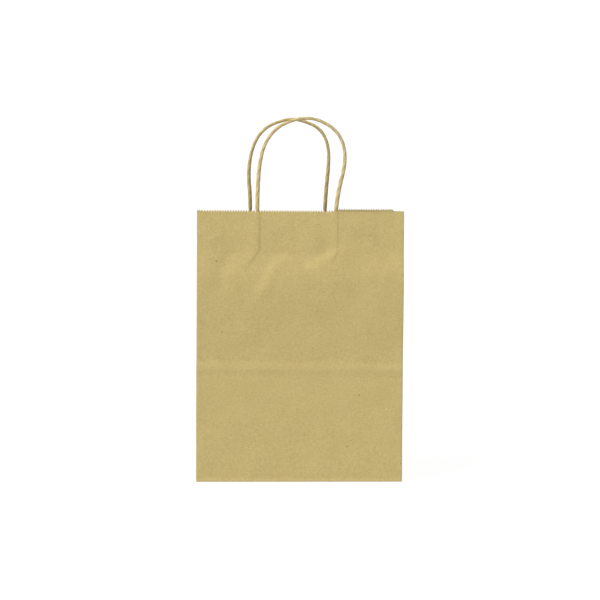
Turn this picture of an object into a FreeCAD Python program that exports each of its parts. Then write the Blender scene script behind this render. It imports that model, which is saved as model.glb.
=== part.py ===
"""Kraft paper gift bag with twisted paper cord handles, standing open on its square bottom.

One folded and glued sheet of paper makes the front and back panels, the two side gussets and the
folded bottom. Each handle is one twisted paper cord whose two ends are glued between two paper
strips, and the strips are glued inside the mouth of a panel.

Millimetres. +Z is up, -Y is the front, and the origin is the middle of the bottom's underside.
"""
import FreeCAD
import Part
import math
import os

from FreeCAD import Vector

# ---- driving sizes -------------------------------------------------------------------------
bag_width = 203.2            # across the front panel
bag_depth = 120.65           # of the square bottom, front to back
bag_height = 266.7           # of a panel, from its bottom crease to its cut top edge
lean_in = 4.3                # how far the top of each panel leans in over the bottom
paper = 0.15                 # thickness of the sheet and of the handle strips
glue = 0.05                  # thickness of a dried line of paste
crease_gap = 0.4             # left free between two panels that meet at a crease

pinking_pitch = 2.54         # from tooth to tooth along the cut mouth
pinking_depth = 1.5          # from the tip of a tooth to its root

seam_lap = 15.0              # width of the lap that closes the sheet into a tube
paste_margin = 2.5           # paste stops this far inside the edges that it joins
flap_overlap = 24.0          # of the two bottom flaps, in the middle of the bottom

cord_diameter = 3.3
cord_spacing = 77.3          # between the two ends of one handle
cord_clearance = 0.05        # round a cord, inside its strips
cord_end_margin = 4.8        # from the foot of the strips up to the cut end of a cord
cord_bend_height = 2.0       # the cord bends this far above the mouth
strip_length = 152.4         # of the paper strips that hold a handle
strip_height = 38.1
strip_below_mouth = 1.7      # from the tips of the teeth down to the strips

front_handle_shift = -3.75   # of the middle of each handle from the middle of its panel
back_handle_shift = -8.1

# The line of each handle, seen from the front: across from the middle of its two ends, and up
# from the mouth. The first and last points are where the cord bends above the mouth.
front_handle_route = [
    (-38.65, 2.0), (-38.15, 21.0), (-36.25, 46.0), (-31.45, 66.0), (-20.25, 81.0),
    (-4.75, 89.2), (11.75, 91.5), (23.75, 88.0), (36.25, 81.5), (44.25, 73.5), (48.35, 58.0),
    (47.35, 42.0), (42.05, 22.0), (38.65, 2.0),
]
back_handle_route = [
    (-38.65, 2.0), (-38.9, 18.0), (-40.5, 36.0), (-38.5, 56.0), (-32.4, 73.0), (-21.9, 85.0),
    (-8.4, 90.6), (4.1, 93.4), (18.1, 90.2), (30.6, 85.0), (38.3, 77.0), (42.5, 63.0),
    (42.7, 45.0), (40.4, 23.0), (38.65, 2.0),
]

# ---- sizes that follow ---------------------------------------------------------------------
lean = math.asin(lean_in / bag_height)
mouth_height = bag_height * math.cos(lean)
mouth_half = bag_depth / 2 - lean_in
flap_length = bag_depth / 2 + flap_overlap / 2
layer = paper + glue
bottom_thickness = 3 * layer + paper
cord_radius = cord_diameter / 2
strip_top = bag_height - strip_below_mouth
strip_bottom = strip_top - strip_height
cord_inset = layer + paper + cord_clearance + cord_radius
gusset_tuck = math.sqrt((bag_depth / 2) ** 2 - mouth_half ** 2)

os.makedirs("parts", exist_ok=True)


def write(name, *solids):
    """One named piece, or a group of like solids under one name."""
    shape = solids[0] if len(solids) == 1 else Part.makeCompound(list(solids))
    assert shape.isValid() and all(s.isClosed() for s in shape.Solids), name
    shape.exportStep("parts/" + name + ".step")
    print(f"{name:32s} solids {len(shape.Solids)}  volume {shape.Volume:9.2f} mm3")


def slab(low, high):
    """A box between two corners."""
    return Part.makeBox(high[0] - low[0], high[1] - low[1], high[2] - low[2], Vector(*low))


def sheet_of(corners, thickness):
    """A flat piece of sheet: the outline of its lower face, made thick."""
    points = [Vector(*c) for c in corners]
    return Part.Face(Part.makePolygon(points + points[:1])).extrude(Vector(*thickness))


def pinking_comb(start, end, tip_height):
    """What the pinking blade takes away above a line of teeth, as an outline of (along, up)."""
    count = max(2, round((end - start) / pinking_pitch))
    step = (end - start) / count
    line = [(start, tip_height)]
    for tooth in range(count):
        line.append((start + step * (tooth + 0.5), tip_height - pinking_depth))
        line.append((start + step * (tooth + 1), tip_height))
    above = tip_height + 4 * pinking_depth
    return line + [(end + step, tip_height), (end + step, above),
                   (start - step, above), (start - step, tip_height)]


# ---- the panels ----------------------------------------------------------------------------
# A panel and what is glued to it are made standing upright: x across, y inwards from the
# panel's outer face, z up from the bottom crease. They are then leaned in and set in place.

def on_front(shape):
    """Lean a piece of the front wall in, and put it on the front edge of the bottom."""
    shape = shape.copy()
    shape.rotate(Vector(0, 0, 0), Vector(1, 0, 0), -math.degrees(lean))
    shape.translate(Vector(0, -bag_depth / 2, 0))
    return shape


def on_back(shape):
    """The same for the back wall, which is the front wall turned half round."""
    shape = on_front(shape)
    shape.rotate(Vector(0, 0, 0), Vector(0, 0, 1), 180)
    return shape


def panel():
    """A rectangle of the sheet with a pinked top edge."""
    plain = slab((-bag_width / 2, 0, 0), (bag_width / 2, paper, bag_height))
    comb = pinking_comb(-bag_width / 2, bag_width / 2, bag_height)
    cutter = sheet_of([(x, -1, z) for x, z in comb], (0, 2 + paper, 0))
    return plain.cut(cutter)


def seam():
    """The lap of the sheet inside one side of the back panel, and its line of paste."""
    outer = bag_width / 2 - crease_gap
    inner = bag_width / 2 - seam_lap
    foot = bottom_thickness + crease_gap
    head = bag_height - strip_below_mouth
    lap = slab((-outer, layer, foot), (-inner, layer + paper, head))
    paste = slab((-outer + paste_margin, paper, foot + paste_margin),
                 (-inner - paste_margin, layer, head - paste_margin))
    return lap, paste


# ---- the handles and their strips ----------------------------------------------------------

def strips(middle):
    """The two strips that hold a handle's ends, and the paste that holds them to the panel."""
    left = middle - strip_length / 2
    right = middle + strip_length / 2
    near = layer
    outer = slab((left, near, strip_bottom), (right, near + paper, strip_top))
    paste = slab((left + paste_margin, paper, strip_bottom + paste_margin),
                 (right - paste_margin, near, strip_top - paste_margin))
    # the inner strip lies flat on the outer one and arches over each end of the cord
    flat = 2 * layer
    bore = cord_radius + cord_clearance
    inner = slab((left, flat, strip_bottom), (right, flat + paper, strip_top))
    ends = [middle - cord_spacing / 2, middle + cord_spacing / 2]
    for x in ends:
        inner = inner.fuse(arch(x, bore + paper, flat))
    for x in ends:
        inner = inner.cut(arch(x, bore, flat))
    return outer, inner.removeSplitter(), paste


def arch(x, radius, foot):
    """A ridge of half-round section along a cord's end, from the strips' bottom to their top."""
    crown = Part.makeCylinder(radius, strip_height, Vector(x, cord_inset, strip_bottom))
    body = slab((x - radius, foot, strip_bottom), (x + radius, cord_inset, strip_top))
    half = slab((x - radius, cord_inset, strip_bottom),
                (x + radius, cord_inset + radius, strip_top))
    return crown.common(half).fuse(body).removeSplitter()


def cord_ends(middle):
    """The two ends of a cord, straight down between the strips."""
    foot = strip_bottom + cord_end_margin
    top = bag_height + cord_bend_height - cord_radius - 2 * cord_clearance
    return [Part.makeCylinder(cord_radius, top - foot, Vector(x, cord_inset, foot))
            for x in (middle - cord_spacing / 2, middle + cord_spacing / 2)]


def cord_loop(route, middle, name):
    """The loop above the mouth: straight runs joined by arcs, with round ends where it bends."""
    stretch = cord_spacing / (route[-1][0] - route[0][0])
    points = [Vector(middle + x * stretch, cord_inset, bag_height + up) for x, up in route]
    edges = []
    radii = []
    here = points[0]
    for before, corner, after in zip(points, points[1:], points[2:]):
        back = (before - corner).normalize()
        ahead = (after - corner).normalize()
        turn = math.pi - back.getAngle(ahead)
        setback = 0.45 * min((before - corner).Length, (after - corner).Length)
        radius = setback / math.tan(turn / 2)
        radii.append(radius)
        inwards = (back + ahead).normalize()
        start = corner + back * setback
        end = corner + ahead * setback
        crown = corner + inwards * (radius / math.cos(turn / 2) - radius)
        edges.append(Part.LineSegment(here, start).toShape())
        edges.append(Part.Arc(start, crown, end).toShape())
        here = end
    edges.append(Part.LineSegment(here, points[-1]).toShape())
    path = Part.Wire(edges)
    first = (points[1] - points[0]).normalize()
    last = (points[-2] - points[-1]).normalize()
    section = Part.Wire(Part.makeCircle(cord_radius, points[0], first))
    tube = path.makePipeShell([section], True, False)
    share = tube.Volume / (math.pi * cord_radius ** 2 * path.Length)
    print(f"{name}: length {path.Length:.1f}, tightest arc {min(radii):.1f},"
          f" arcs {[round(r) for r in radii]}, volume over section x length {share:.4f}")
    for end, inwards in ((points[0], first), (points[-1], last)):
        tube = tube.fuse(Part.makeSphere(cord_radius, end, inwards * -1, 0, 90, 360))
    return tube.removeSplitter()


def wall(side, place, middle, route):
    """Everything on one wall of the bag, under names that start with the side."""
    write(side + "_panel", place(panel()))
    outer, inner, paste = strips(middle)
    write(side + "_patch_outer_strip", place(outer))
    write(side + "_patch_inner_strip", place(inner))
    write(side + "_patch_glue", place(paste))
    write(side + "_handle_ends", *[place(end) for end in cord_ends(middle)])
    write(side + "_handle_loop", place(cord_loop(route, middle, side + " handle")))


wall("front", on_front, front_handle_shift, front_handle_route)
# the back wall is made facing the front and turned round, so what is on it is made mirrored
wall("back", on_back, -back_handle_shift, [(-x, up) for x, up in reversed(back_handle_route)])

lap_sheet, lap_paste = seam()
write("side_seam_lap", on_back(lap_sheet))
write("side_seam_glue", on_back(lap_paste))


# ---- the gussets ---------------------------------------------------------------------------

def gusset_fold(side, way):
    """Half a gusset, between a corner of the bag (way is -1 in front) and its middle crease.

    It stands straight at the bottom and is drawn in at the mouth, so it is a twisted sheet.
    """
    wall_x = side * bag_width / 2
    middle_x = side * (bag_width / 2 - gusset_tuck)
    corner_foot = Vector(wall_x, way * (bag_depth / 2 - crease_gap), 2 * crease_gap)
    corner_top = Vector(wall_x, way * (mouth_half - crease_gap), mouth_height)
    middle_foot = Vector(wall_x, way * crease_gap / 2, bag_depth / 2 + crease_gap)
    middle_top = Vector(middle_x, way * crease_gap / 2, mouth_height)
    surface = Part.makeRuledSurface(Part.makeLine(corner_foot, corner_top),
                                    Part.makeLine(middle_foot, middle_top))
    fold = surface.extrude(Vector(-side * paper, 0, 0))
    low, high = sorted((way * (mouth_half - crease_gap), way * crease_gap / 2))
    comb = pinking_comb(low, high, mouth_height)
    reach = gusset_tuck + 1
    start_x = min(wall_x, wall_x - side * reach) - 1
    return fold.cut(sheet_of([(start_x, y, z) for y, z in comb], (reach + 2, 0, 0)))


def gusset_triangle(side):
    """The flat triangle of a gusset that stands on the bottom, below its slanting creases."""
    x = side * bag_width / 2
    foot = bag_depth / 2 - crease_gap
    return sheet_of([(x, -foot, 0), (x, foot, 0), (x, 0, foot)], (-side * paper, 0, 0))


for side_name, side_sign in (("left", -1), ("right", 1)):
    write(side_name + "_gusset_front_fold", gusset_fold(side_sign, -1))
    write(side_name + "_gusset_back_fold", gusset_fold(side_sign, 1))
    write(side_name + "_gusset_base_triangle", gusset_triangle(side_sign))


# ---- the folded bottom ---------------------------------------------------------------------
# From the floor up: the back flap, the front flap with the back flap's turned-in corners
# beside it, the front flap's turned-in corners, and on top the two side tabs.
back_flap_floor = 0.0
front_flap_floor = layer
front_corner_floor = 2 * layer
tab_floor = 3 * layer

half_width = bag_width / 2 - crease_gap
half_depth = bag_depth / 2 - crease_gap
flap_tip = bag_depth / 2 - flap_length          # how far a flap stops short of the middle
tip_half = bag_width / 2 - flap_length


def flap(way, floor):
    """A bottom flap with slanting ends, on the front (way -1) or back edge."""
    return sheet_of([(-half_width, way * half_depth, floor), (half_width, way * half_depth, floor),
                     (tip_half, way * flap_tip, floor), (-tip_half, way * flap_tip, floor)],
                    (0, 0, paper))


def turned_corners(way, floor, end_y):
    """The two corners of a flap, turned in under it. They stop at end_y."""
    outer = half_width - 2 * crease_gap
    edge = half_depth - crease_gap
    reach = outer - tip_half
    room = slab((-outer, min(way * edge, end_y), floor), (outer, max(way * edge, end_y), floor + paper))
    corners = []
    for s in (-1, 1):
        whole = sheet_of([(s * outer, way * edge, floor), (s * tip_half, way * edge, floor),
                          (s * tip_half, way * (edge - reach), floor)], (0, 0, paper))
        corners.append(whole.common(room).Solids[0])
    return corners


front_corners = turned_corners(-1, front_corner_floor, -flap_tip)
back_corners = turned_corners(1, front_flap_floor, -flap_tip + crease_gap)
write("base_back_flap", flap(1, back_flap_floor))
write("base_front_flap", flap(-1, front_flap_floor))
write("base_front_corner_tucks", *front_corners)
write("base_back_corner_tucks", *back_corners)

for side_name, side_sign in (("left", -1), ("right", 1)):
    inner_x = side_sign * (bag_width / 2 - flap_length)
    outer_x = side_sign * half_width
    write("base_" + side_name + "_tab",
          slab((min(inner_x, outer_x), -half_depth, tab_floor),
               (max(inner_x, outer_x), half_depth, tab_floor + paper)))

# paste between the two flaps, and between each side tab and the front flap's turned corners
flap_paste = slab((paste_margin - tip_half, paste_margin - flap_overlap / 2, back_flap_floor + paper),
                  (tip_half - paste_margin, flap_overlap / 2 - paste_margin, front_flap_floor))
tab_paste = []
for side_sign in (-1, 1):
    near_x = side_sign * (tip_half + paste_margin)
    far_x = side_sign * (half_width - 4 * paste_margin)
    edge_y = paste_margin - half_depth
    floor = tab_floor - glue
    tab_paste.append(sheet_of([(far_x, edge_y, floor), (near_x, edge_y, floor),
                               (near_x, edge_y + abs(far_x - near_x), floor)], (0, 0, glue)))
write("base_glue", flap_paste, *tab_paste)
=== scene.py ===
import math

import bmesh
import bpy
import numpy as np
from mathutils import Matrix, Vector, noise


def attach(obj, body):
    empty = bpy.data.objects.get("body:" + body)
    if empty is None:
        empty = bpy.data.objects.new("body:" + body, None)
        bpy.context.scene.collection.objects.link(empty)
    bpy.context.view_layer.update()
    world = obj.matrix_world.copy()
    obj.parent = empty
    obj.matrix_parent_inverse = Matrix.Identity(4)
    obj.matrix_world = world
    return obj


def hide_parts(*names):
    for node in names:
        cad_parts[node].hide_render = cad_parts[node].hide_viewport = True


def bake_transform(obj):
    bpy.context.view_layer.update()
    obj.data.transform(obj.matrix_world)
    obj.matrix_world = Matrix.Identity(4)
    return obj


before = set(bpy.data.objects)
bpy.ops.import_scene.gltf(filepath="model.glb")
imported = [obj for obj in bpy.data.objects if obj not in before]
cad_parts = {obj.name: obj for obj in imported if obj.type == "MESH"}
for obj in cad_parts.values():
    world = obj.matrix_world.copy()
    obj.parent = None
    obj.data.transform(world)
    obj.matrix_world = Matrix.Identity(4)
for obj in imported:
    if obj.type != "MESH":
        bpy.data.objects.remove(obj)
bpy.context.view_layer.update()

# ---- camera ----------------------------------------------------------------------------------
# A long lens two metres off, a little to the left of the bag's front and a little above
# the middle of it, turned by a third of a degree.
azimuth, elevation, roll = (math.radians(angle) for angle in (-2.774, 3.504, 0.378))
aim = Vector((0.00252, 0.0, 0.17576))
back = Vector((math.sin(azimuth) * math.cos(elevation),
               -math.cos(azimuth) * math.cos(elevation), math.sin(elevation)))
level = Vector((math.cos(azimuth), math.sin(azimuth), 0.0))
upright = back.cross(level)
across = level * math.cos(roll) + upright * math.sin(roll)
upwards = upright * math.cos(roll) - level * math.sin(roll)
distance = 2.0
camera = bpy.data.objects.new("camera", bpy.data.cameras.new("camera"))
camera.data.sensor_width = 36.0
camera.data.lens = 118.74
camera.data.clip_end = 30.0
camera.matrix_world = (Matrix.Translation(aim + back * distance)
                       @ Matrix((across, upwards, back)).transposed().to_4x4())
bpy.context.collection.objects.link(camera)
bpy.context.scene.camera = camera

# ---- studio ----------------------------------------------------------------------------------
# A wide white table that glows like a light table, in a white room. A broad soft lamp hangs
# high on the left in front of the bag, and a weaker one on the right behind it.
bpy.context.scene.view_settings.view_transform = "Standard"


class Wire:
    """A value in a node tree. Plain arithmetic on it adds Math nodes."""

    def __init__(self, tree, socket=None):
        self.tree = tree
        self.socket = socket

    def node(self, kind, inputs=(), out=0, **settings):
        made = self.tree.nodes.new("ShaderNode" + kind)
        for name, value in settings.items():
            setattr(made, name, value)
        for name, value in dict(inputs).items():
            if isinstance(value, Wire):
                self.tree.links.new(value.socket, made.inputs[name])
            else:
                made.inputs[name].default_value = value
        return Wire(self.tree, made.outputs[out])

    def math(self, operation, *values, clamp=False):
        return self.node("Math", dict(enumerate(values)), operation=operation, use_clamp=clamp)

    def blend(self, factor, first, second):
        return self.node("Mix", {0: factor, 6: first, 7: second}, out=2, data_type="RGBA")

    def feed(self, shader, name):
        self.tree.links.new(self.socket, shader.inputs[name])

    def __add__(self, other):
        return self.math("ADD", self, other)

    def __radd__(self, other):
        return self.math("ADD", other, self)

    def __sub__(self, other):
        return self.math("SUBTRACT", self, other)

    def __rsub__(self, other):
        return self.math("SUBTRACT", other, self)

    def __mul__(self, other):
        return self.math("MULTIPLY", self, other)

    def __rmul__(self, other):
        return self.math("MULTIPLY", other, self)


world = bpy.data.worlds.new("white room")
bpy.context.scene.world = world
world.use_nodes = True
room = Wire(world.node_tree)
background = world.node_tree.nodes["Background"]
background.inputs["Color"].default_value = (1.0, 1.0, 1.0, 1.0)
seen = room.node("LightPath", out="Is Camera Ray")
(0.50 + 0.55 * seen).feed(background, "Strength")


for name, strength, spread, towards in (("key lamp", 3.6, 26.0, (0.55, 0.35, -0.76)),
                                        ("fill lamp", 1.1, 45.0, (-0.55, -0.60, -0.58))):
    sun = bpy.data.lights.new(name, "SUN")
    sun.energy = strength
    sun.angle = math.radians(spread)
    stand = bpy.data.objects.new(name, sun)
    stand.rotation_euler = Vector(towards).to_track_quat("-Z", "Y").to_euler()
    bpy.context.collection.objects.link(stand)

table_half, table_drop = 9.0, 0.0003
table = bpy.data.meshes.new("table")
shape = bmesh.new()
bmesh.ops.create_grid(shape, x_segments=1, y_segments=1, size=table_half,
                      matrix=Matrix.Translation((0.0, 0.0, -table_drop)))
shape.to_mesh(table)
shape.free()
table_top = bpy.data.objects.new("table", table)
bpy.context.collection.objects.link(table_top)
white = bpy.data.materials.new("white table")
white.use_nodes = True
gloss = white.node_tree.nodes["Principled BSDF"]
gloss.inputs["Base Color"].default_value = (0.11, 0.11, 0.11, 1.0)
gloss.inputs["Roughness"].default_value = 0.9
gloss.inputs["Specular IOR Level"].default_value = 0.1
gloss.inputs["Emission Color"].default_value = (1.0, 1.0, 1.0, 1.0)
gloss.inputs["Emission Strength"].default_value = 0.90
table.materials.append(white)

# ---- front and back panels -------------------------------------------------------------------
# The two wide walls, each a plain sheet of brown kraft paper 0.15 mm thick with a pinked top
# edge. They lean in towards the mouth. Folding, the strips and the handles glued inside have
# left a ridge, soft dents and raised lines in them.
mm = 0.001
width, depth, height = 203.2 * mm, 120.65 * mm, 266.7 * mm
paper = 0.15 * mm
lean_in = 4.3 * mm
lean = math.asin(lean_in / height)
tooth_pitch, tooth_depth, tooth_rise = 2.54 * mm, 2.3 * mm, 1.0 * mm
front_middle, back_middle = -3.75 * mm, -8.1 * mm
cord_spacing = 77.3 * mm
strip_mark = 227.0 * mm
ridge_left, ridge_fall = 111.6 * mm, 1.5 * mm
relief_top = 265.0 * mm


def on_wall(side, x, inward, up):
    """Places on a wall: side is -1 in front and 1 behind, inward is from its outer face."""
    y = inward * math.cos(lean) + up * math.sin(lean) - depth / 2
    z = up * math.cos(lean) - inward * math.sin(lean)
    return np.stack([x + 0 * y, -side * y, z + 0 * x], axis=-1)


def ease(value, low, high):
    """0 below low, 1 above high, and a smooth rise between."""
    t = np.clip((value - low) / (high - low), 0.0, 1.0)
    return t * t * (3.0 - 2.0 * t)


def fold(x, z, line, reach, rise):
    """A soft ridge, or with a negative rise a valley, along a line of points in millimetres."""
    line = np.array(line, float) * mm
    runs = np.hypot(*(line[1:] - line[:-1]).T)
    done, total = 0.0, runs.sum()
    nearest = np.full(x.shape, 1e9)
    share = np.zeros(x.shape)
    for (ax, az), (bx, bz), run in zip(line, line[1:], runs):
        t = np.clip(((x - ax) * (bx - ax) + (z - az) * (bz - az)) / run ** 2, 0.0, 1.0)
        gap = np.hypot(x - ax - t * (bx - ax), z - az - t * (bz - az))
        share = np.where(gap < nearest, (done + t * run) / total, share)
        nearest = np.minimum(nearest, gap)
        done += run
    fade = np.clip(5.0 * share * (1.0 - share), 0.15, 1.0)
    return rise * mm * fade * np.exp(-(nearest / (reach * mm)) ** 2)


def raised_lines(x, z, middle, drops):
    """What a handle's two ends press out of the wall: a slow rise and a quick drop beside it."""
    out = 0.0
    for centre, (rise, drop) in zip((middle - cord_spacing / 2, middle + cord_spacing / 2), drops):
        off = (x - centre) / mm
        out = out + rise * mm * ease(off, -12.0, 0.2) * (1.0 - ease(off, 0.4, 0.4 + drop))
    return out * ease(z, strip_mark - 1.0 * mm, strip_mark + 6.0 * mm)


def slant(x, z, top, foot, rise, drop):
    """A crease that runs down from a cord's end: a slow rise, then a drop on its lower side."""
    (x0, z0), (x1, z1) = top, foot
    run = math.hypot(x1 - x0, z1 - z0)
    ux, uz = (x1 - x0) / run, (z1 - z0) / run
    gone = ((x / mm - x0) * ux + (z / mm - z0) * uz) / run
    off = (z / mm - z0) * ux - (x / mm - x0) * uz
    out = ease(off, -11.0, 0.0) * (1.0 - ease(off, 0.3, 0.3 + drop))
    return rise * mm * out * ease(gone, -0.05, 0.30) * (1.0 - ease(gone, 0.45, 1.2))


def brow(x, z):
    """The edge of the bulge under the strips, which wanders up and down like an M."""
    path = np.array([(-46.0, 182.0), (-40.5, 190.0), (-34.0, 202.0), (-26.0, 217.0), (-13.0, 223.5),
                     (-6.0, 221.0), (3.5, 212.0), (15.0, 216.5), (26.0, 223.0), (38.0, 229.0)])
    steepness = np.array([(-46.0, 2.0), (-30.0, 2.0), (-20.0, 1.0), (-10.0, 0.5), (0.0, 0.8),
                          (8.0, 0.6), (38.0, 0.6)])
    below = np.interp(x / mm, *path.T) - z / mm
    off = below / np.hypot(1.0, np.interp(x / mm, *steepness.T))
    step = ease(off, -5.5, 5.0) * (1.0 - ease(below, 8.0, 66.0))
    left_end = 1.0 - (1.0 - ease(z / mm, 164.0, 196.0)) * (1.0 - ease(x / mm, -40.0, -4.0))
    sides = ease(x / mm, -56.0, -38.0) * (1.0 - ease(x / mm, 34.0, 62.0))
    return 1.30 * mm * step * left_end * sides


def strip_edge(x, z, middle, rise):
    """The faint step round the strips that are glued inside."""
    inside = ease(76.6 * mm - np.abs(x - middle), -0.5 * mm, 0.8 * mm)
    return rise * mm * inside * ease(z, strip_mark - 1.0 * mm, strip_mark + 0.8 * mm)


def wrinkle(x, z, seed, scale, rise):
    """A slow unevenness all over a sheet."""
    return rise * mm * np.array([noise.noise(Vector((a / scale, seed, b / scale)))
                                 for a, b in zip(x / mm, z / mm)])


def swell(z, foot, crown, neck, out, back_in):
    """A wall's slow bulge: out from foot to crown, part of it back at the neck, none at the mouth."""
    at_mouth = (out - back_in) * ease(z, 238 * mm, 276 * mm) / ease(height, 238 * mm, 276 * mm)
    return (out * ease(z, foot * mm, crown * mm) - back_in * ease(z, crown * mm, neck * mm) - at_mouth) * mm


def flare(z, rise):
    """The foot of a wall, pushed out a little by the folded bottom."""
    return rise * mm * (1.0 - ease(z, 0.6 * mm, 3.4 * mm))


def held_flat(x, z):
    """0 at the creases down the sides and along the foot, which hold the sheet flat, 1 inside."""
    return ease(width / 2 - np.abs(x), 0.0, 10 * mm) * ease(z, 0.0, 14 * mm)


def front_relief(x, z):
    """How far the front wall stands out from flat. The folded bottom left a ridge across it."""
    crest = ridge_left - ridge_fall * (x / width + 0.5)
    above = ease(z - crest, -0.4 * mm, 9.0 * mm)
    below = ease(crest - z, -0.4 * mm, 7.6 * mm)
    broad = (0.85 * (1.0 - above) - 0.40 * below) * mm * ease(z, 0.0, 90 * mm)
    broad = broad + swell(z, 104, 196, 232, 4.0, 2.9) + flare(z, 0.48)
    out = brow(x, z)
    out += slant(x, z, (-40.2, 231.0), (-55.0, 211.0), 0.60, 3.2)
    out += slant(x, z, (37.2, 231.0), (28.0, 214.5), 0.45, 2.4)
    out += slant(x, z, (-93.0, 236.5), (-77.0, 244.5), 0.50, 3.0)
    out += fold(x, z, [(-58, 230), (-70, 222), (-78, 206), (-79, 180)], 7.5, -0.8)
    out += fold(x, z, [(46, 245), (62, 240), (80, 231), (99, 212)], 7.0, -1.1)
    out += fold(x, z, [(60, 200), (74, 205), (92, 200)], 9.0, 0.45)
    out += fold(x, z, [(-28, 238), (-14, 241), (2, 232)], 6.0, -0.5)
    out += fold(x, z, [(6, 233), (14, 236), (24, 236)], 6.0, 0.3)
    out += raised_lines(x, z, front_middle, ((0.62, 3.4), (0.42, 2.2)))
    out += strip_edge(x, z, front_middle, 0.16)
    out += wrinkle(x, z, 3.1, 27.0, 0.42) + wrinkle(x, z, 8.4, 9.0, 0.06)
    return broad + out * held_flat(x, z)


def back_relief(x, z):
    """How far the back wall stands out from flat. Its cross fold is half the depth up."""
    broad = fold(x, z, [(-130, 60.6), (130, 60.2)], 1.6, 0.45)
    broad = broad + swell(z, 64, 176, 230, 3.6, 2.8) + flare(z, 0.25)
    out = fold(x, z, [(-84, 224), (-60, 206), (-42, 214), (-18, 200)], 9.0, 0.8)
    out += fold(x, z, [(12, 214), (34, 204), (58, 218), (86, 206)], 9.0, -0.7)
    out += fold(x, z, [(-66, 150), (-20, 162), (28, 152)], 12.0, 0.5)
    out += raised_lines(x, z, back_middle, ((0.7, 2.4), (0.8, 2.6)))
    out += strip_edge(x, z, back_middle, 0.14)
    out += wrinkle(x, z, 21.7, 30.0, 0.5) + wrinkle(x, z, 14.2, 9.0, 0.06)
    return broad + out * held_flat(x, z)


def paper_piece(name, columns, rows, place, thickness):
    """A grid laid out by place(column, row) on the outer face, made thick inwards."""
    shape = bmesh.new()
    bmesh.ops.create_grid(shape, x_segments=len(columns) - 1, y_segments=len(rows) - 1, size=0.5)
    flat = np.array([v.co for v in shape.verts])
    step = np.rint((flat[:, :2] - flat[:, :2].min(0)) / np.ptp(flat[:, :2], axis=0)
                   * (len(columns) - 1, len(rows) - 1)).astype(int)
    spots = place(np.asarray(columns, float)[step[:, 0]], np.asarray(rows, float)[step[:, 1]])
    for vertex, spot in zip(shape.verts, spots):
        vertex.co = spot
    shape.normal_update()
    bmesh.ops.solidify(shape, geom=shape.faces[:], thickness=thickness)
    shape.normal_update()
    for edge in shape.edges:
        edge.smooth = edge.calc_face_angle(0.0) < 0.8
    for face in shape.faces:
        face.smooth = True
    mesh = bpy.data.meshes.new(name)
    shape.to_mesh(mesh)
    shape.free()
    piece = bpy.data.objects.new(name, mesh)
    bpy.context.collection.objects.link(piece)
    return piece


def teeth(along, start):
    """How far the pinked edge is cut below its tips: 0 at a tip, full in a notch."""
    turns = (along - start) / tooth_pitch
    return tooth_depth * np.abs(turns - np.floor(turns + 0.5)) * 2.0


def kraft(name, light, dark, fibre=1.0, bump=0.25):
    """Brown kraft: cloudy grain, fibres both ways, dark and pale specks, a dull tooth."""
    material = bpy.data.materials.new(name)
    material.use_nodes = True
    tree = material.node_tree
    surface = tree.nodes["Principled BSDF"]
    surface.inputs["Specular IOR Level"].default_value = 0.28
    wire = Wire(tree)
    here = wire.node("TexCoord", out="Object")
    cloud = wire.node("TexNoise", {"Vector": here, "Scale": 45.0, "Detail": 3.0, "Roughness": 0.55})
    grain = wire.node("TexNoise", {"Vector": here, "Scale": 640.0, "Detail": 3.0, "Roughness": 0.75})
    fine = wire.node("TexNoise", {"Vector": here, "Scale": 1900.0, "Detail": 2.0, "Roughness": 0.6})
    lengthways = wire.node("Mapping", {"Vector": here, "Scale": (1900.0, 1900.0, 260.0)})
    fibres = wire.node("TexNoise", {"Vector": lengthways, "Scale": 1.0, "Detail": 2.0})
    sideways = wire.node("Mapping", {"Vector": here, "Scale": (300.0, 300.0, 2100.0)})
    cross = wire.node("TexNoise", {"Vector": sideways, "Scale": 1.0, "Detail": 2.0})
    tone = (0.5 + 0.40 * (cloud - 0.5) + 2.6 * (grain - 0.5) + 0.9 * fibre * (fibres - 0.5)
            + 0.9 * fibre * (cross - 0.5) + 1.2 * (fine - 0.5))
    colour = wire.blend(tone.math("ADD", tone, 0.0, clamp=True), dark, light)
    spots = {"Vector": here, "Scale": 170.0}
    reach = wire.node("TexVoronoi", spots, out="Distance")
    lot = wire.node("SeparateColor", {0: wire.node("TexVoronoi", spots, out="Color")})
    near = reach.math("LESS_THAN", reach, 0.075)
    wide = reach.math("LESS_THAN", reach, 0.10)
    bran = near * lot.math("LESS_THAN", lot, 0.17)
    chalk = wide * lot.math("LESS_THAN", (lot - 0.5).math("ABSOLUTE", lot - 0.5), 0.012)
    fleck = reach.math("LESS_THAN", reach, 0.14) * lot.math("GREATER_THAN", lot, 0.982)
    colour = wire.blend(0.55 * bran, colour, (0.16, 0.10, 0.045, 1.0))
    colour = wire.blend(0.60 * fleck, colour, (0.13, 0.09, 0.04, 1.0))
    colour = wire.blend(0.35 * chalk, colour, (0.86, 0.80, 0.60, 1.0))
    hair_space = wire.node("Mapping", {"Vector": here, "Rotation": (0.3, 0.2, 0.4),
                                       "Scale": (95.0, 640.0, 640.0)})
    hairs = {"Vector": hair_space, "Scale": 1.0}
    hair = wire.node("TexVoronoi", hairs, out="Distance")
    pick = wire.node("SeparateColor", {0: wire.node("TexVoronoi", hairs, out="Color")})
    strand = hair.math("LESS_THAN", hair, 0.16) * pick.math("LESS_THAN", pick, 0.10)
    colour = wire.blend(0.30 * strand, colour, (0.24, 0.16, 0.07, 1.0))
    colour.feed(surface, "Base Color")
    (0.78 + 0.16 * grain).feed(surface, "Roughness")
    tooth = 0.5 * grain + 0.35 * fine + 0.3 * fibres + 0.3 * cross
    wire.node("Bump", {"Height": tooth, "Distance": 0.00012, "Strength": bump}).feed(surface, "Normal")
    return material


sheet_paper = kraft("kraft sheet", (0.492, 0.394, 0.170, 1.0), (0.404, 0.310, 0.116, 1.0))


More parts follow.
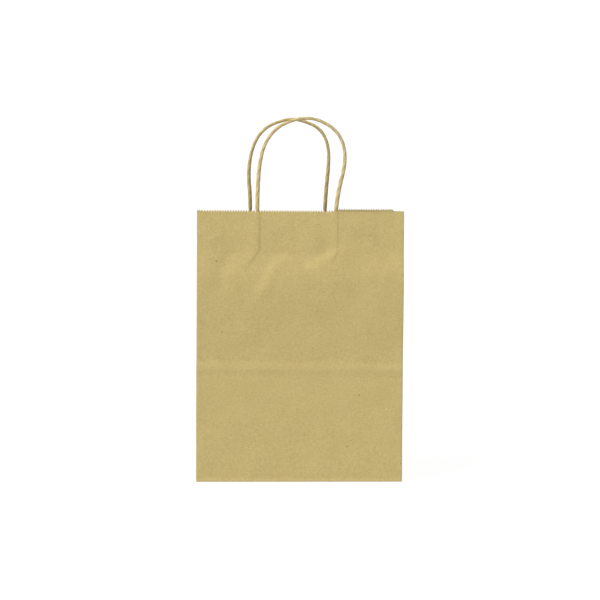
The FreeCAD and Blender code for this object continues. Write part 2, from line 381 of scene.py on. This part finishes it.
def wall_columns(middle):
    """Across a wall: two to a tooth, and closer where a cord's edge is pressed out."""
    even = np.linspace(-width / 2, width / 2, 161)
    ends = np.array([-101.45, -101.15, 101.15, 101.45]) * mm
    close = [np.arange(-1.8, 4.2, 0.42) * mm + middle + s * cord_spacing / 2 for s in (-1, 1)]
    both = np.unique(np.round(np.concatenate([even, ends, *close]), 6))
    keep = np.concatenate([[True], np.diff(both) > 0.12 * mm])
    return both[keep | np.isin(both, np.round(even, 6))]


wall_rows = np.concatenate([np.array([-1.6, -0.7, 0.0, 0.15, 0.45, 1.0, 1.8, 2.7, 3.8]),
                            np.arange(5.4, 102.0, 2.2),
                            np.arange(102.6, 124.0, 0.9), np.arange(125.0, 212.0, 1.9),
                            np.arange(213.0, 240.0, 1.1), np.arange(241.4, 263.0, 2.0),
                            np.array([264.0, (height + tooth_rise) / mm])]) * mm
front_columns, back_columns = wall_columns(front_middle), wall_columns(back_middle)


crease_round, foot_height = 0.38 * mm, 0.045 * mm


def rounded(distance):
    """How far a sheet turns inwards at this distance from a crease."""
    return crease_round * (1.0 - ease(distance, -0.1 * mm, 0.55 * mm))


def turned_in(x, z):
    """Past the crease at the foot of a wall the sheet goes on inwards, along the floor."""
    return np.maximum(-z, 0.0) * (0.15 + 0.85 * ease(width / 2 - np.abs(x), 0.0, 1.5 * mm))


def front_place(x, z, inward=0.0):
    turn = rounded(width / 2 - np.abs(x)) + rounded(z) + turned_in(x, z)
    cut = np.where(z > height, teeth(x, -width / 2), 0.0)
    z = np.maximum(z, foot_height)
    return on_wall(-1, x, inward + turn - front_relief(x, np.minimum(z, relief_top)), z - cut)


def edge_sag(x):
    """The back wall was cut a little out of square: its top edge is lower on the left."""
    return 4.4 * mm * (1.0 - ease(x, 32 * mm, 44 * mm))


def back_place(x, z, inward=0.0):
    turn = rounded(width / 2 - np.abs(x)) + rounded(z) + turned_in(x, z)
    cut = np.where(z > height, teeth(x, -width / 2), 0.0)
    z = np.maximum(z, foot_height)
    sag = edge_sag(x) * ease(z, 120 * mm, 260 * mm)
    return on_wall(1, x, inward + turn - back_relief(x, np.minimum(z, relief_top)), z - cut - sag)


front = paper_piece("front_sheet", front_columns, wall_rows, front_place, paper)
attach(front, "front_wall")
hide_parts("front_panel")
behind = paper_piece("back_sheet", back_columns[::-1], wall_rows, back_place, paper)
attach(behind, "back_wall")
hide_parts("back_panel")
for sheet in (front, behind):
    sheet.data.materials.append(sheet_paper)

# ---- side seam -------------------------------------------------------------------------------
# The sheet is closed into a tube by a lap down one side of the back wall, on the inside, with
# a line of paste under it. It follows the back wall.


def span(columns, low, high):
    """The part of a list between two ends, ends included."""
    inside = [c for c in columns if low + 0.2 * mm < c < high - 0.2 * mm]
    return np.array([low, *inside, high])


paste_thickness = 0.05 * mm
dried_paste = bpy.data.materials.new("dried paste")
dried_paste.use_nodes = True
film = dried_paste.node_tree.nodes["Principled BSDF"]
paste_wire = Wire(dried_paste.node_tree)
paste_place = paste_wire.node("TexCoord", out="Object")
smear = paste_wire.node("TexNoise", {"Vector": paste_place, "Scale": 160.0, "Detail": 4.0})
paste_wire.blend(smear, (0.62, 0.55, 0.38, 1.0), (0.78, 0.72, 0.56, 1.0)).feed(film, "Base Color")
(0.35 + 0.3 * smear).feed(film, "Roughness")
paste_wire.node("Bump", {"Height": smear, "Distance": 0.00005, "Strength": 0.4}).feed(film, "Normal")

lap = paper_piece("seam_lap", span(back_columns, 86.6 * mm, 101.15 * mm)[::-1],
                  span(wall_rows, 1.15 * mm, 264.2 * mm),
                  lambda x, z: back_place(x, z, paper + paste_thickness), paper)
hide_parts("side_seam_lap")
lap.data.materials.append(sheet_paper)
line = paper_piece("seam_paste", span(back_columns, 89.1 * mm, 98.7 * mm)[::-1],
                   span(wall_rows, 3.65 * mm, 262.5 * mm),
                   lambda x, z: back_place(x, z, paper), paste_thickness)
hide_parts("side_seam_glue")
line.data.materials.append(dried_paste)
for piece in (lap, line):
    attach(piece, "back_wall")

# ---- gussets ---------------------------------------------------------------------------------
# Each side wall is folded in down its middle, so that the bag can close. Each half is a twisted
# sheet from a corner of the bag to the middle crease, pinked along the mouth like the panels.
tuck = math.sqrt((depth / 2) ** 2 - (depth / 2 - lean_in) ** 2)
mouth_height = height * math.cos(lean)
last_row = 0.995


def gusset_half(name, side, way, seed):
    """Half a side wall: side is -1 on the left, way is -1 for the half next to the front."""
    foot = Vector((side * width / 2, way * (depth / 2 - 0.10 * mm), 0.35 * mm))
    head = Vector((side * width / 2, way * (depth / 2 - 4.40 * mm), mouth_height))
    low = Vector((side * width / 2, way * 0.04 * mm, depth / 2 + 0.25 * mm))
    high = Vector((side * (width / 2 - tuck), way * 0.04 * mm, mouth_height))
    steps = np.linspace(0.0, 1.0, 49)
    heights = np.concatenate([np.linspace(0.0, 0.9865, 88), [1.0]])

    def place(u, v):
        """u runs from the corner of the bag to the middle crease, and v from foot to mouth."""
        corner = np.outer(1 - v, foot) + np.outer(v, head)
        crease = np.outer(1 - v, low) + np.outer(v, high)
        spot = corner * (1 - u)[:, None] + crease * u[:, None]
        puff = np.sin(math.pi * u) * np.sin(math.pi * v ** 0.8) * (1.6 * mm)
        rough = np.array([noise.noise(Vector((a * 2.4, seed, b * 6.0))) for a, b in zip(u, v)])
        edge = np.clip(12.0 * u * (1 - u) * np.clip(4.0 * v, 0, 1), 0.0, 1.0)
        spot[:, 0] += side * (puff + 1.1 * mm * rough * edge)
        relief = front_relief if way < 0 else back_relief
        edge_out = relief(np.full(v.shape, side * width / 2), np.minimum(v * height, relief_top))
        spot[:, 1] += way * edge_out * (1.0 - u) ** 2 * ease(v, 0.0, 0.15)
        sag = edge_sag(np.array([side * width / 2]))
        spot[:, 2] -= sag * ease(v, 0.45, 1.0) * (0.85 * u + (1.0 - u if way > 0 else 0.0))
        cut = teeth(spot[:, 1], way * (depth / 2 - 4.7 * mm)) - tooth_rise
        spot[:, 2] -= np.where(v > last_row, cut, 0.0)
        return spot

    order = steps if side * way < 0 else steps[::-1]
    piece = paper_piece(name, order, heights, place, paper)
    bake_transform(piece)
    piece.data.materials.append(sheet_paper)
    return piece


for side_name, side in (("left", -1), ("right", 1)):
    for way_name, way in (("front", -1), ("back", 1)):
        half = gusset_half(f"{side_name}_side_{way_name}_half", side, way, 4.0 + side + 5 * way)
        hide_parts(f"{side_name}_gusset_{way_name}_fold")

# ---- folded bottom ---------------------------------------------------------------------------
# Two flaps from the panels lapped over each other with their corners turned in, all kraft and
# pasted. On top lie two tabs, each in one piece with the small triangle that stands beside it.
for name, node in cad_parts.items():
    if name.startswith("base_"):
        chosen = dried_paste if name == "base_glue" else sheet_paper
        for slot in node.material_slots:
            slot.material = chosen

tab_flat = [(29.3, 0.74), (40.0, 0.74), (52.0, 0.75), (64.0, 0.76), (76.0, 0.77), (88.0, 0.77),
            (97.0, 0.76), (100.2, 0.72)]
tab_turn = [(101.0, 0.58), (101.35, 0.40), (101.55, 0.42), (101.62, 0.75), (101.6, 1.6), (101.6, 3.2)]
tab_wall = [(101.6, z) for z in [*np.arange(5.5, 59.0, 2.0), 59.4]]
tab_path = np.array(tab_flat + tab_turn + tab_wall) * mm
tab_half = np.where(np.arange(len(tab_path)) < len(tab_flat), depth / 2 - 0.5 * mm,
                    np.minimum(depth / 2 - 0.35 * mm, depth / 2 + 0.65 * mm - tab_path[:, 1]))


def tab_place(side):
    """The tab lies on the bottom, turns up at the side and ends in a point, as the triangle."""
    def place(t, s):
        row = s.astype(int)
        x, z = tab_path[row, 0], tab_path[row, 1]
        lift = 0.25 * mm * np.array([noise.noise(Vector((a * 2.0, b * 0.25, 3.0 * side)))
                                     for a, b in zip(t, s)]) * (x > 101.4 * mm) * (1.0 - np.abs(t))
        edge = tab_half[row] * (1.0 - np.abs(t))
        tucked = 0.22 * mm * (1.0 - ease(edge, 0.8 * mm, 1.7 * mm)) * ease(z, 1.0 * mm, 3.0 * mm)
        return np.stack([side * (x + lift - tucked), t * tab_half[row], z], axis=-1)
    return place


for side_name, side in (("left", -1), ("right", 1)):
    shares = np.sin(np.linspace(-math.pi / 2, math.pi / 2, 49))
    tab = paper_piece(side_name + "_tab", shares[::side], np.arange(len(tab_path)),
                      tab_place(side), paper)
    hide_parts(f"base_{side_name}_tab", side_name + "_gusset_base_triangle")
    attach(tab, "base")
    tab.data.materials.append(sheet_paper)

# ---- handle strips ---------------------------------------------------------------------------
# On each wall two strips of heavier kraft hold a handle's ends between them. The outer one is
# pasted flat to the wall, and the inner one goes over the cord like a tent.
strip_paper = kraft("kraft strip", (0.492, 0.386, 0.173, 1.0), (0.392, 0.298, 0.117, 1.0), fibre=1.4)
strip_top, strip_bottom, strip_length = 264.5 * mm, 226.9 * mm, 152.4 * mm
paste_margin, inner_gap = 2.5 * mm, 0.4 * mm


def tent(x, z, middle):
    """How far the inner strip is lifted where it goes over the cord's ends."""
    arch = np.array([(0.0, 3.46), (0.6, 3.34), (1.2, 2.98), (1.8, 2.36), (2.6, 1.2), (3.5, 0.35),
                     (4.8, 0.0)])
    lift = 0.0
    for centre in (middle - cord_spacing / 2, middle + cord_spacing / 2):
        lift = lift + np.interp(np.abs(x - centre) / mm, *arch.T)
    return lift * mm * ease(z, 227.4 * mm, 231.2 * mm)


for wall_name, middle, place, columns, turn in (
        ("front", front_middle, front_place, front_columns, 1),
        ("back", back_middle, back_place, back_columns, -1)):
    left, right = middle - strip_length / 2, middle + strip_length / 2
    fine = np.concatenate([columns, *[np.arange(-4.8, 4.9, 0.6) * mm + middle + s * cord_spacing / 2
                                      for s in (-1, 1)]])
    fine = np.unique(np.round(fine, 5))
    rows = span(wall_rows, strip_bottom, strip_top)
    paste = paper_piece(wall_name + "_strip_paste",
                        span(columns, left + paste_margin, right - paste_margin)[::turn],
                        span(wall_rows, strip_bottom + paste_margin, strip_top - paste_margin),
                        lambda x, z: place(x, z, paper), paste_thickness)
    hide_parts(wall_name + "_patch_glue")
    paste.data.materials.append(dried_paste)
    outer = paper_piece(wall_name + "_outer_strip", span(columns, left, right)[::turn], rows,
                        lambda x, z: place(x, z, paper + paste_thickness), paper)
    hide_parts(wall_name + "_patch_outer_strip")
    inner = paper_piece(wall_name + "_inner_strip", span(fine, left, right)[::turn], rows,
                        lambda x, z: place(x, z, inner_gap + tent(x, z, middle)), paper)
    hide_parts(wall_name + "_patch_inner_strip")
    for strip in (outer, inner):
        strip.data.materials.append(strip_paper)
    for piece in (paste, outer, inner):
        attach(piece, wall_name + "_wall")

# ---- handles ---------------------------------------------------------------------------------
# Each handle is one length of cord, twisted from a strip of kraft paper, 3.3 mm thick and
# 300 mm long. Both ends go straight down between the strips, and the rest stands up in a loop.
cord_radius, cord_inset = 1.65 * mm, 2.05 * mm
exit_below_mouth = 7.0 * mm
twist_pitch, ply_pitch = 10.5 * mm, 4.2 * mm
front_route = [(-38.65, -35.0), (-38.65, -7.0), (-38.75, 2.0), (-38.6, 21.0), (-36.9, 46.0),
               (-32.0, 66.0), (-20.7, 81.0), (-4.9, 88.9), (11.4, 91.1), (23.2, 88.2),
               (35.0, 81.5), (42.8, 72.5), (47.3, 58.0), (46.4, 42.0), (41.2, 22.0),
               (38.35, 2.0), (38.65, -7.0), (38.65, -35.0)]
back_route = [(-38.65, -35.0), (-38.65, -7.0), (-38.85, 2.0), (-39.4, 18.0), (-41.0, 36.0),
              (-38.9, 56.0), (-32.9, 73.0), (-22.2, 85.0), (-8.6, 90.6), (3.9, 93.4),
              (17.5, 90.4), (29.7, 85.0), (37.3, 76.8), (41.9, 63.0), (41.9, 45.0),
              (39.7, 23.0), (38.4, 2.0), (38.65, -7.0), (38.65, -35.0)]


def twisted_paper(name, light, dark):
    """Kraft twisted into a cord: strands of several widths round it, paler on their crests as painted
    highlight and darker in the grooves as painted shade, over the paper's own patchy tone.
    """
    material = bpy.data.materials.new(name)
    material.use_nodes = True
    skin = material.node_tree.nodes["Principled BSDF"]
    skin.inputs["Specular IOR Level"].default_value = 0.28
    wire = Wire(material.node_tree)
    here = wire.node("TexCoord", out="Object")
    flat = wire.node("SeparateXYZ", {0: wire.node("TexCoord", out="UV")}, out="X")
    along = Wire(wire.tree, flat.socket.node.outputs["Y"])
    wander = wire.node("TexNoise", {"Vector": here, "Scale": 110.0, "Detail": 2.0})
    speckle = wire.node("TexNoise", {"Vector": here, "Scale": 1100.0, "Detail": 3.0})
    patchy = wire.node("TexNoise", {"Vector": here, "Scale": 260.0, "Detail": 2.0})

    def strand(starts, pitch, drift):
        phase = 2 * math.pi * starts * flat + 2 * math.pi / pitch * along + drift * wander
        return phase.math("SINE", phase)

    # Dark in the grooves and light on the crests of the strands: painted shade and painted highlight. The
    # speckle and patchy terms are the paper's own tone.
    twist = (0.5 + 0.24 * strand(2, twist_pitch, 3.0) + 0.20 * strand(5, ply_pitch, 5.0)
             + 0.16 * strand(9, 0.0023, 7.0) + 0.5 * (speckle - 0.5) + 0.9 * (patchy - 0.5))
    twist = twist.math("ADD", twist, 0.0, clamp=True)
    wire.blend(twist, dark, light).feed(skin, "Base Color")
    (0.66 + 0.25 * speckle).feed(skin, "Roughness")
    wire.node("Bump", {"Height": twist, "Distance": 0.00025, "Strength": 0.75}).feed(skin, "Normal")
    return material


# The back cord's paper is a little darker than the front cord's: painted shade for the cord that stands
# behind the mouth.
cord_papers = {
    "front": twisted_paper("front cord paper", (0.600, 0.484, 0.240, 1.0), (0.335, 0.255, 0.107, 1.0)),
    "back": twisted_paper("back cord paper with painted shade", (0.568, 0.454, 0.218, 1.0), (0.330, 0.249, 0.104, 1.0)),
}


def read_line(name, side, middle, route):
    """Points read from the route's own smooth spline, evenly spaced."""
    curve = bpy.data.curves.new(name, "CURVE")
    curve.dimensions = "3D"
    curve.resolution_u = 24
    spline = curve.splines.new("NURBS")
    spline.points.add(len(route) - 1)
    for point, (x, up) in zip(spline.points, route):
        point.co = (*on_wall(side, middle + x * mm, cord_inset, height + up * mm), 1.0)
    spline.order_u = 3
    spline.use_endpoint_u = True
    carrier = bpy.data.objects.new(name, curve)
    mesh = bpy.data.meshes.new_from_object(carrier)
    read = np.array([v.co for v in mesh.vertices])
    bpy.data.objects.remove(carrier)
    bpy.data.meshes.remove(mesh)
    lengths = np.concatenate([[0.0], np.cumsum(np.linalg.norm(np.diff(read, axis=0), axis=1))])
    even = np.linspace(0.0, lengths[-1], int(lengths[-1] / (0.5 * mm)) + 1)
    return np.stack([np.interp(even, lengths, read[:, k]) for k in range(3)], axis=1), lengths[-1]


def cord_piece(name, side, middle, route):
    """The cord as a closed tube along its line, with the lumps and grooves of its twist."""
    line, long = read_line(name + "_line", side, middle, route)
    inside = 1.0 - ease(line[:, 2], 262 * mm, 269 * mm)
    relief = front_relief if side < 0 else back_relief
    line[:, 1] += side * inside * relief(line[:, 0], np.minimum(line[:, 2], relief_top))
    ahead = np.gradient(line, axis=0)
    ahead /= np.linalg.norm(ahead, axis=1)[:, None]
    inward = np.array([0.0, -side * math.cos(lean), -math.sin(lean)])
    aside = np.cross(ahead, inward)
    around, rings = 24, len(line) - 1
    shape = bmesh.new()
    uv = shape.loops.layers.uv.new("cord")
    bmesh.ops.create_grid(shape, x_segments=around, y_segments=rings, size=0.5, calc_uvs=True)
    flat = np.array([v.co for v in shape.verts])
    step = np.rint((flat[:, :2] - flat[:, :2].min(0)) * (around, rings)).astype(int)
    angle = step[:, 0] / around * 2 * math.pi
    travelled = step[:, 1] / rings * long
    lumps = np.array([noise.noise(Vector((math.cos(a) * 1.2, math.sin(a) * 1.2, t / (3.5 * mm) + 9 * side)))
                      for a, t in zip(angle, travelled)])
    unevenness = np.array([noise.noise(Vector((0.3, 4.0 * side, t / (9 * mm)))) for t in travelled])
    groove = np.clip(2.6 * np.abs(np.sin(angle + math.pi * travelled / twist_pitch)), 0, 1)
    plies = np.sin(5 * angle + 2 * math.pi * travelled / ply_pitch)
    up = line[step[:, 1], 2]
    leg = ease(up, 266 * mm, 270 * mm) * (1.0 - ease(up, 292 * mm, 335 * mm))
    bare = ease(up, 262 * mm, 267 * mm)
    thick = 0.995 + 0.205 * leg + 0.05 * bare * (0.5 - ease(up, 300 * mm, 350 * mm))
    radius = cord_radius * thick * (0.96 + 0.04 * groove + 0.010 * plies + 0.04 * lumps + 0.05 * unevenness)
    spots = (line[step[:, 1]] + radius[:, None] * (np.cos(angle)[:, None] * aside[step[:, 1]]
                                                   + np.sin(angle)[:, None] * inward))
    for vertex, spot in zip(shape.verts, spots):
        vertex.co = spot
    for face in shape.faces:
        for loop in face.loops:
            loop[uv].uv.y *= long
    bmesh.ops.remove_doubles(shape, verts=shape.verts[:], dist=1e-7)
    bmesh.ops.holes_fill(shape, edges=[e for e in shape.edges if e.is_boundary], sides=0)
    bmesh.ops.recalc_face_normals(shape, faces=shape.faces[:])
    for face in shape.faces:
        face.smooth = len(face.verts) == 4
    mesh = bpy.data.meshes.new(name)
    shape.to_mesh(mesh)
    shape.free()
    mesh.materials.append(cord_papers["front" if side < 0 else "back"])
    piece = bpy.data.objects.new(name, mesh)
    bpy.context.collection.objects.link(piece)
    return piece, line


for wall_name, side, middle, route in (("front", -1, front_middle, front_route),
                                       ("back", 1, back_middle, back_route)):
    cord, line = cord_piece(wall_name + "_cord", side, middle, route)
    leaves = on_wall(side, middle - cord_spacing / 2, cord_inset, height - exit_below_mouth)
    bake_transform(cord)
    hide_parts(wall_name + "_handle_ends", wall_name + "_handle_loop")
